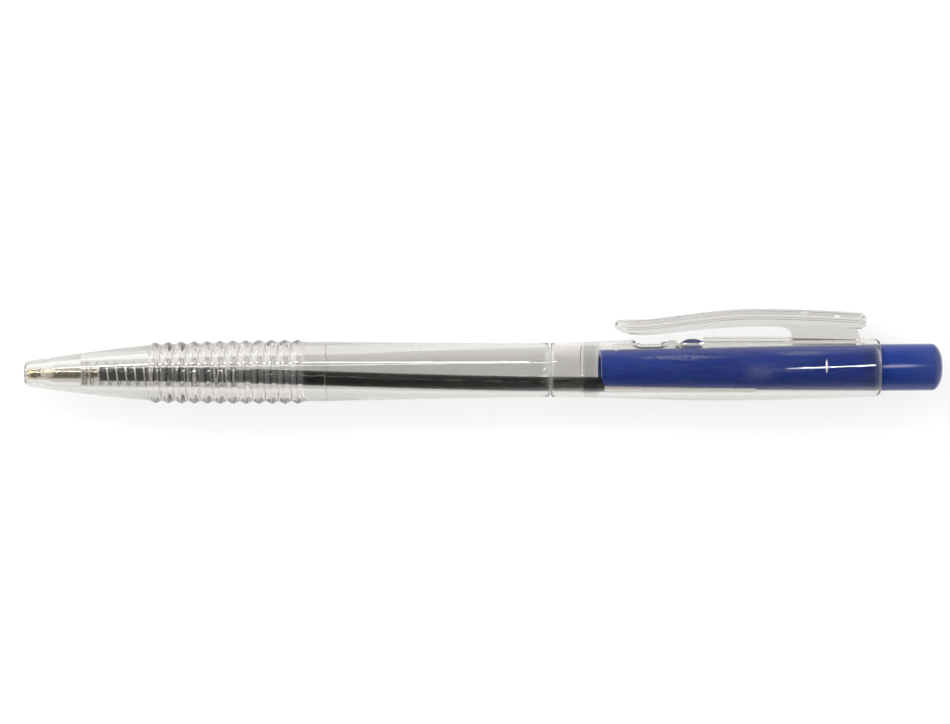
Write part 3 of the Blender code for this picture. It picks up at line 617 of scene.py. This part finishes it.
def plunger(material):
    """Hollow body and button, cut by the refill channel, a raked front and the tongue's slot."""
    start = PLUNGER_FRONT - 0.3
    lip = [(start, 2.3), (start, 3.0), (start + 0.04, 3.08), (start + 0.14, PLUNGER)]
    button_end = (PEN_LENGTH, 2.45), (PEN_LENGTH, 1.2)
    button = curve((BUTTON_EDGE, BUTTON), (144.1, BUTTON), *button_end, 16)
    inside = [(PEN_LENGTH, 0.0), (HOLLOW_END, 0.0)]
    inside += [(HOLLOW_END, PLUNGER_BORE), (start + 0.08, PLUNGER_BORE)]
    shell = spun(lip + [(REAR_END, BUTTON)] + button + inside, 128)
    front = PLUNGER_FRONT - 0.9
    channel = block((front, CHANNEL_END), (0.0, -CUTTER_TOP), 3.6)
    slant = [(front, 0.08), (PLUNGER_FRONT + 1.8, -4.72), (front, -4.72)]
    slant = extruded(slant, CUTTER_WIDTH)
    raked = [(front, -5.0), (start - 0.12, -5.0), (start + 0.5, 5.0), (front, 5.0)]
    raked = extruded(raked, CUTTER_WIDTH)
    bmesh.ops.rotate(raked, verts=raked.verts, matrix=Matrix.Rotation(math.radians(90.0), 3, "X"))
    slot = block(TONGUE_SLOT, (0.0, 5.0), 3.0)
    steps = [("DIFFERENCE", tool) for tool in (channel, slant, raked, slot)]
    solid = combined("plunger_solid", shell, steps)
    return make_piece("plunger", solid, material, "push_unit")


def latch_tongue(material):
    """The strip of the plunger's wall between the slots, with a ramped pip on it."""
    half_width, wall, pip_root = 1.2, 0.9, 2.8
    rings = []
    for i in range(29):
        x = TONGUE_START + 0.5 * i
        outer = plunger_radius(x)
        crown = []
        for j in range(17):
            z = half_width - 2.0 * half_width * j / 16
            crown.append((x, math.sqrt(outer**2 - z**2), z))
        under = math.sqrt(outer**2 - half_width**2) - wall
        rings.append(crown + [(x, under, -half_width), (x, under, half_width)])
    foot = plunger_radius(PIP_FRONT)
    pulls = (PIP_FRONT + 0.5, foot + 0.55), (PIP_FRONT + 0.7, PIP_TOP)
    ramp = curve((PIP_FRONT, foot), *pulls, (PIP_FRONT + 1.3, PIP_TOP), 10)
    drop = [(PIP_REAR - 0.15, PIP_TOP), (PIP_REAR, PIP_TOP - 0.12), (PIP_REAR, pip_root)]
    pip = extruded([(PIP_FRONT, pip_root), *ramp, *drop], 2.0)
    solid = combined("latch_tongue_solid", lofted(rings), [("UNION", pip)])
    return make_piece("latch_tongue", solid, material, "latch")


def return_spring(material):
    """Round wire with two closed coils at each end and fifteen open ones between."""
    wire, coil, closed, turns = 0.16, 1.82, 2, 15
    steps, sides = 36, 12
    closed_length = closed * 0.45
    open_length = SPRING_LENGTH - 2 * wire - 2 * closed_length
    rings = []
    for i in range((turns + 2 * closed) * steps + 1):
        done = i / steps
        closed_done = min(done, closed) + max(done - closed - turns, 0.0)
        open_done = min(max(done - closed, 0.0), turns)
        x = SPRING_FRONT + wire + closed_length * closed_done / closed
        x += open_length * open_done / turns
        angle = 2.0 * math.pi * done
        outward = Vector((0.0, math.cos(angle), math.sin(angle)))
        centre = Vector((x, refill_axis(x), 0.0)) + coil * outward
        ring = []
        for j in range(sides):
            turn = 2.0 * math.pi * j / sides
            lengthways = Vector((wire * math.sin(turn), 0.0, 0.0))
            ring.append(centre + wire * math.cos(turn) * outward + lengthways)
        rings.append(ring)
    spring = make_piece("return_spring", lofted(rings), material, "barrel")
    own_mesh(spring)
    return spring


def crimp_share(x):
    """1 on the crimp and 0 on the round tube, easing over a short run at each side."""
    run = 0.6
    return min(ease((x - CRIMP_FRONT + run) / run), ease((CRIMP_REAR + run - x) / run))


def refill_rings(start, end, plain, pinched):
    """Rings along the refill, from a round section to the pinched one on the crimp."""
    count = round((end - start) / 0.3)
    rings = []
    for i in range(count + 1):
        x = start + (end - start) * i / count
        share = crimp_share(x)
        height = plain + (pinched[0] - plain) * share
        width = plain + (pinched[1] - plain) * share
        rings.append(ellipse(x, refill_axis(x), height, width, 40))
    return rings


def refill_tube(material):
    outside = refill_rings(TUBE_FRONT, TUBE_REAR, REFILL, CRIMP)
    inside = refill_rings(TUBE_FRONT, TUBE_REAR, REFILL_BORE, CRIMP_BORE)
    bm = lofted(outside + inside[::-1], joined_ends=True)
    return make_piece("refill_tube", bm, material, "push_unit")


def ink_column(material):
    """The ink wets the bore: it reaches a hair into the tube's wall and leaves no film of air."""
    wet, empty = 0.01, 23.7
    pinched = [half + wet for half in CRIMP_BORE]
    rings = refill_rings(TUBE_FRONT + 0.9, TUBE_REAR - empty, REFILL_BORE + wet, pinched)
    return make_piece("ink_column", lofted(rings), material, "push_unit")


def writing_tip(material):
    """A cup for the ball, a stepped point and a shank that plugs into the tube."""
    tail_end = TUBE_FRONT + 0.8
    cup = []
    for i in range(10):
        angle = math.radians(75.0 + 105.0 * i / 10)
        cup.append((BALL_CENTRE - BALL_SEAT * math.cos(angle), BALL_SEAT * math.sin(angle)))
    rim, rim_radius = cup[0]
    outline = [
        (rim, rim_radius + 0.09),
        (rim + 0.06, rim_radius + 0.15),
        (rim + 0.18, rim_radius + 0.18),
        (rim + 0.9, 0.8),
        (rim + 1.05, 0.78),
        (rim + 1.15, 0.62),
        (rim + 1.75, 0.6),
        (rim + 1.95, 0.72),
        (rim + 2.6, 0.88),
        (rim + 2.8, TIP_SHANK),
        (TIP_END - 0.1, TIP_SHANK),
        (TIP_END, 0.82),
        (TIP_END, TIP_TAIL),
        (tail_end, TIP_TAIL),
        (tail_end, 0.0),
        (1.64, 0.0),
    ]
    solid = spun(outline + cup[::-1], 64)
    return make_piece("writing_tip", solid, material, "push_unit")


def tip_ball(material):
    bm = bmesh.new()
    bmesh.ops.create_icosphere(bm, subdivisions=4, radius=BALL)
    bmesh.ops.translate(bm, verts=bm.verts, vec=(BALL_CENTRE, 0.0, 0.0))
    return make_piece("tip_ball", bm, material, "ball")


def floor():
    """White paper. Part of its white is its own, so that the pen's shadow on it stays light."""
    bpy.ops.mesh.primitive_plane_add(size=3.0, location=(0.0, 0.0, 0.0))
    plane = bpy.context.object
    plane.name = "floor"
    look = Surface("white_paper", Roughness=0.9, Specular_IOR_Level=0.0)
    grain = look.noise(look.position()[0], (0.4, 0.4, 0.4), 3.0)
    look.set("Base Color", look.colour_mix(grain, (0.94, 0.935, 0.925), (0.965, 0.96, 0.95)))
    rays = look.node("ShaderNodeLightPath").outputs
    seen = look.math("ADD", rays["Is Camera Ray"], rays["Is Glossy Ray"])
    seen = look.math("ADD", seen, rays["Is Transmission Ray"], clamp=True)
    glow = look.node("ShaderNodeEmission")
    mix = look.node("ShaderNodeMixShader")
    look.feed(mix.inputs[0], look.math("MULTIPLY", seen, 0.75))
    look.feed(mix.inputs[1], look.shader.outputs[0])
    look.feed(mix.inputs[2], glow.outputs[0])
    look.feed(look.tree.nodes["Material Output"].inputs["Surface"], mix.outputs[0])
    plane.data.materials.append(look.material)


def strip_lamp(name, place, turn, size, power, gloss_only=False):
    """A narrow lamp that faces the pen's middle; turn is its long side's angle to the pen."""
    data = bpy.data.lights.new(name, "AREA")
    data.shape = "RECTANGLE"
    data.size, data.size_y = size
    data.energy = power
    lamp = bpy.data.objects.new(name, data)
    away = Vector(place).normalized()
    along = Vector((math.cos(math.radians(turn)), math.sin(math.radians(turn)), 0.0))
    along = (along - away * along.dot(away)).normalized()
    axes = Matrix((along, away.cross(along), away)).transposed()
    lamp.matrix_world = Matrix.Translation(place) @ axes.to_4x4()
    lamp.visible_camera = False
    lamp.visible_diffuse = lamp.visible_transmission = not gloss_only
    bpy.context.scene.collection.objects.link(lamp)


def lights():
    """Soft light from beyond the pen's ends; its sides mirror only a dim band and the strips."""
    world = bpy.data.worlds.new("studio")
    world.use_nodes = True
    bpy.context.scene.world = world
    sky = Nodes(world.node_tree)
    split = sky.node("ShaderNodeSeparateXYZ")
    sky.feed(split.inputs[0], sky.node("ShaderNodeTexCoord").outputs["Generated"])
    along, across, up = split.outputs
    away = sky.math("ABSOLUTE", along)
    near, far = sky.ramp(away, 0.15, 0.26, 0.0, 0.9), sky.ramp(away, 0.45, 0.75, 0.0, 0.6)
    tilt = sky.math("SUBTRACT", 1.0, sky.math("MULTIPLY", along, 0.25))
    ends = sky.math("MULTIPLY", sky.math("ADD", near, far), tilt)
    corner = sky.ramp(across, 0.15, 0.4, 0.0, 1.5)
    corner = sky.math("MULTIPLY", sky.ramp(along, -0.13, -0.24), corner)
    horizon = sky.ramp(up, 0.7, 0.2, 0.1, 0.42)
    level = sky.math("ADD", sky.math("ADD", ends, horizon), corner)
    side = sky.math("ADD", sky.math("MULTIPLY", across, 0.35), 1.0)
    background = sky.tree.nodes["Background"]
    background.inputs["Color"].default_value = (1.0, 0.99, 0.975, 1.0)
    sky.feed(background.inputs["Strength"], sky.math("MULTIPLY", level, side))
    strip_lamp("side_strip", (-0.046, 0.0607, 0.0947), 0.0, (0.12, 0.012), 0.062)
    strip_lamp("rear_strip", (0.147, 0.042, 0.6), 69.8, (0.133, 0.018), 0.17, gloss_only=True)
    strip_lamp("button_strip", (0.08, 0.0115, 0.105), 0.0, (0.012, 0.005), 0.005, gloss_only=True)


def camera():
    data = bpy.data.cameras.new("camera")
    data.sensor_width = 36.0
    data.lens = 144.0
    data.clip_start, data.clip_end = 0.01, 10.0
    eye = bpy.data.objects.new("camera", data)
    eye.location = (-0.0013, -0.00084, AXIS_Z + 0.6012)
    eye.rotation_euler = (0.0, 0.0, math.radians(-0.42))
    bpy.context.scene.collection.objects.link(eye)
    bpy.context.scene.camera = eye


def main():
    scene = bpy.context.scene
    scene.view_settings.view_transform = "Standard"
    scene.cycles.max_bounces = 96
    scene.cycles.transmission_bounces = 64
    scene.cycles.glossy_bounces = 64
    camera()
    front_tints = [
        (0.0, 0.0, (0.78, 0.772, 0.753)),
        (FRONT_END - 0.05, 0.1, (0.98, 0.978, 0.972)),
    ]
    rear_tints = [
        (REAR_START, 0.0, (0.9, 0.89, 0.87)),
        # From just behind the spigot to the plunger's front the wall is painted darker: painted
        # shade for the plunger's shadow.
        (SPIGOT_END + 0.25, 0.1, (0.72, 0.713, 0.697)),
        (PLUNGER_FRONT - 1.2, 1.6, (0.905, 0.898, 0.885)),
    ]
    scuffs_and_glints = [
        ((103.0, 1.8, 4.6), (9.5, 0.5, 1.6), 0.36, "pits"),
        # These two zones on the clip are painted highlights: milky patches put where lamp glints
        # fall on its crown.
        ((123.2, 8.62, 2.0), (1.3, 0.3, 1.0), 0.8, "unpitted"),
        ((128.3, 8.1, 2.0), (0.8, 0.26, 1.0), 0.7, "unpitted"),
        ((126.4, 0.3, 4.8), (0.22, 1.4, 1.0), 0.7, "unpitted"),
        ((115.8, -0.6, 5.0), (3.6, 2.0, 1.8), 0.2, "pits"),
        ((122.6, 2.3, 4.4), (5.6, 0.45, 1.6), 0.4, "pits"),
    ]
    front_barrel(clear_plastic("clear_plastic_front", front_tints, 60.0, [], 0.1))
    rear_barrel(clear_plastic("clear_plastic_rear", rear_tints, 160.0, scuffs_and_glints, 0.22))
    blue = blue_plastic()
    plunger(blue)
    latch_tongue(blue)
    return_spring(drawn_wire())
    refill_tube(tube_plastic())
    ink_column(liquid_ink())
    writing_tip(turned_brass())
    tip_ball(polished_ball())
    floor()
    lights()


main()
